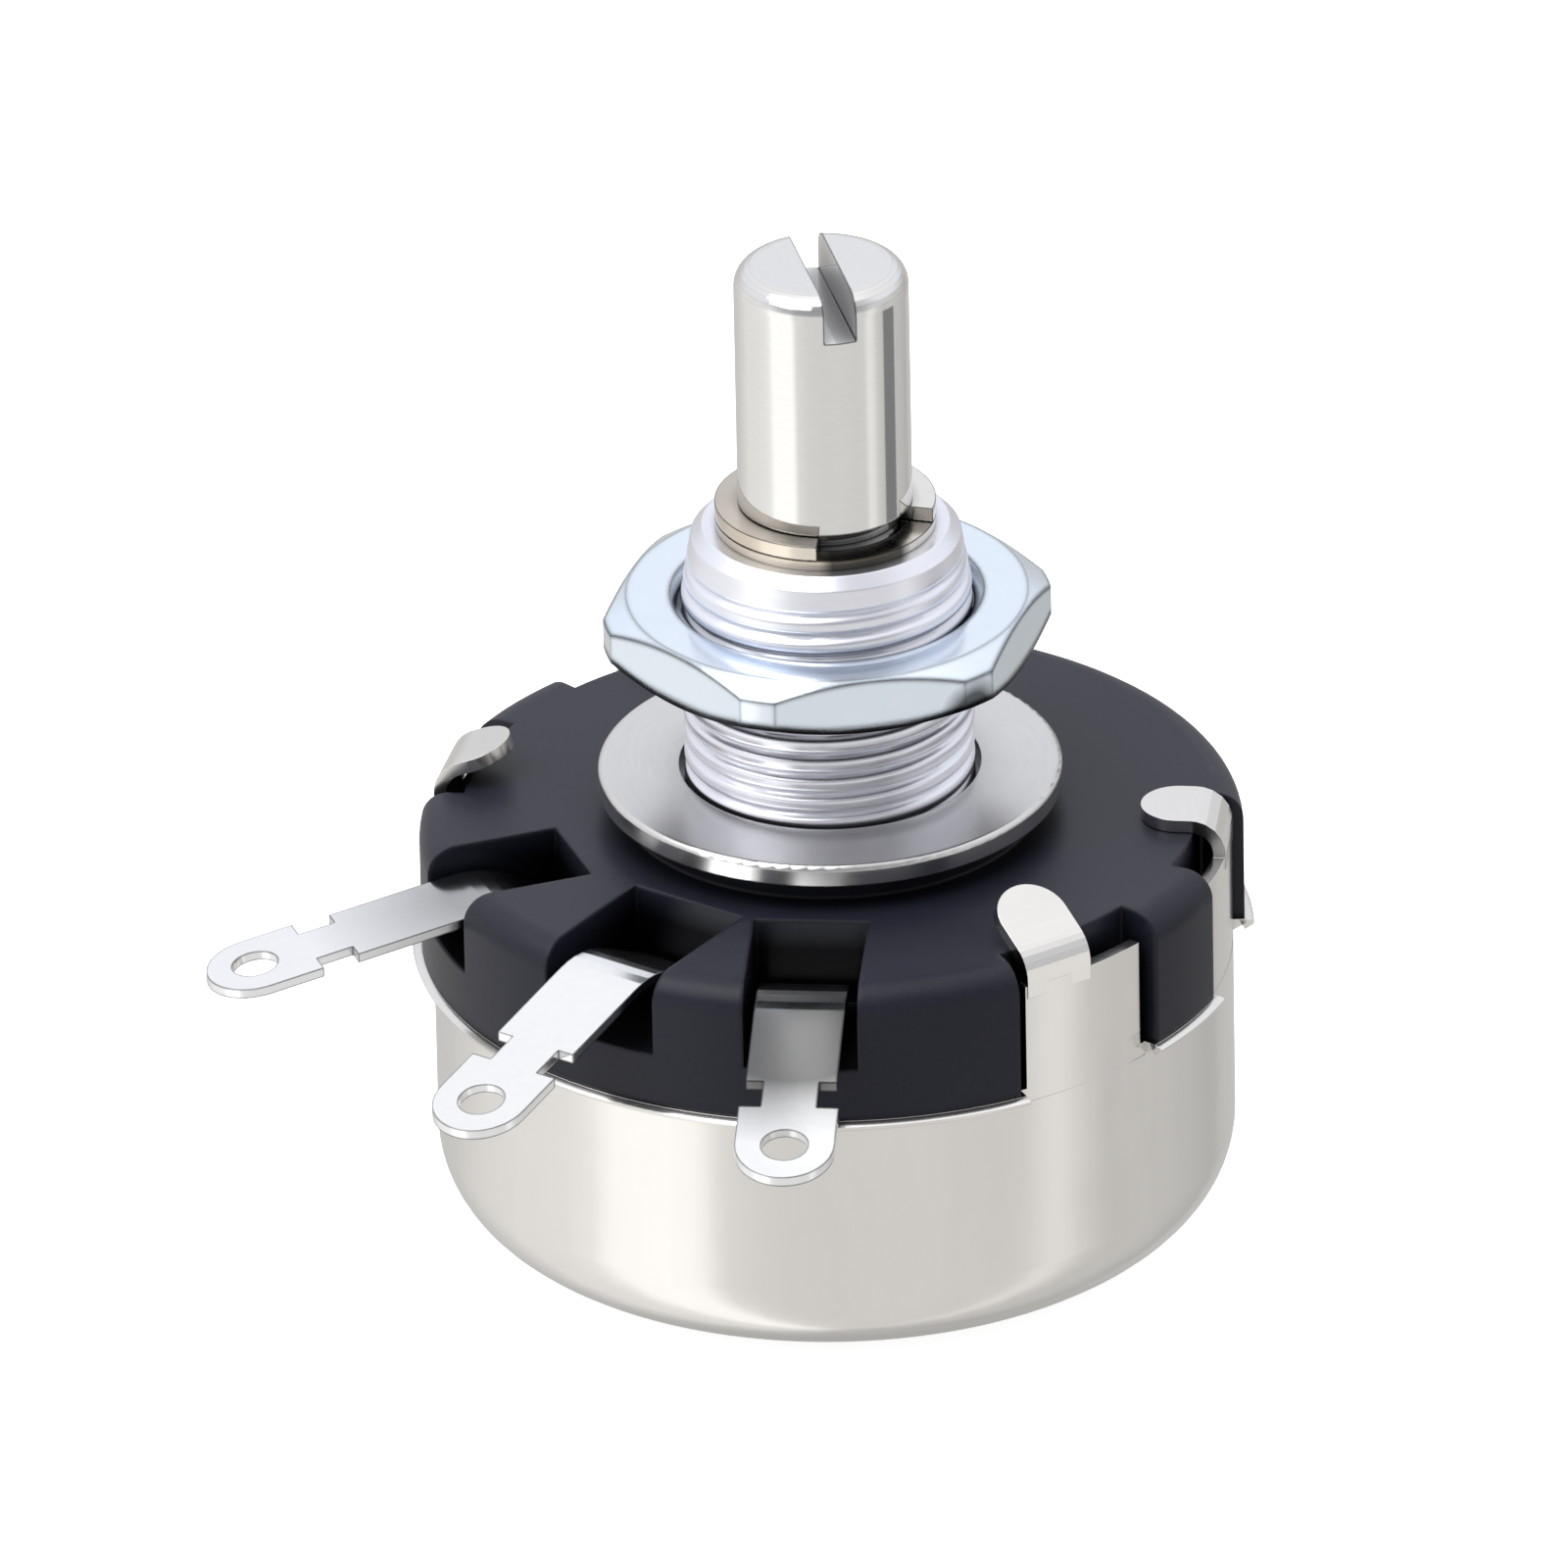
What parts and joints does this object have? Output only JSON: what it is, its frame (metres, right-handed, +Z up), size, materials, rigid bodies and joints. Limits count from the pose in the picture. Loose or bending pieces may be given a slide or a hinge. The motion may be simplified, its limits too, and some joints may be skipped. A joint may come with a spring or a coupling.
{
  "type": "rotary potentiometer",
  "caption": "Panel potentiometer: round metal can, black moulded housing with solder lugs, threaded bushing with nut and washer, slotted shaft.",
  "frame": {"origin": "centre of the can's flat bottom", "axes": "+Z up the shaft, out of the bushing; -Y along the middle solder lug"},
  "size_m": [0.0284, 0.0369, 0.0355],
  "materials": {
    "can": "bright nickel plated sheet",
    "liner": "insulating paper",
    "housing": "satin black moulding",
    "bushing": "bright zinc plated",
    "washer": "polished",
    "nut": "bright zinc plated",
    "shaft": "turned and nickel plated",
    "clip_washer": "plain",
    "clip": "plain",
    "lug": "tinned",
    "former": "insulating card",
    "resistance_wire": "bare wire",
    "spring_brass": "rolled",
    "rotor_board": "laminated board",
    "brush": "carbon"
  },
  "bodies": {
    "case": {"can": "can", "liner_disc": "liner", "housing": "housing", "bushing": "bushing", "mounting_washer": "washer", "clip_washer": "clip_washer", "lug_start": "lug", "lug_wiper": "lug", "lug_end": "lug", "winding_former": "former", "resistance_winding": "resistance_wire", "end_clamps": "spring_brass", "collector_ring": "spring_brass", "thrust_washer": "spring_brass"},
    "rotor": {"shaft": "shaft", "retaining_clip": "clip", "stop_plate": "clip", "rotor_disc": "rotor_board", "wiper_arm": "spring_brass", "wiper_brush": "brush", "takeoff_spring": "spring_brass", "rotor_rivets": "spring_brass"},
    "nut": {"mounting_nut": "nut"}
  },
  "joints": [
    {"name": "shaft_turn", "type": "hinge", "parent": "case", "child": "rotor", "pos_m": [0, 0, 0.02], "axis": [0, 0, 1], "range_deg": [-135, 135]},
    {"name": "nut_travel", "type": "slide", "parent": "case", "child": "nut", "axis": [0, 0, 1], "range_m": [-0.0044, 0.0026]}
  ]
}
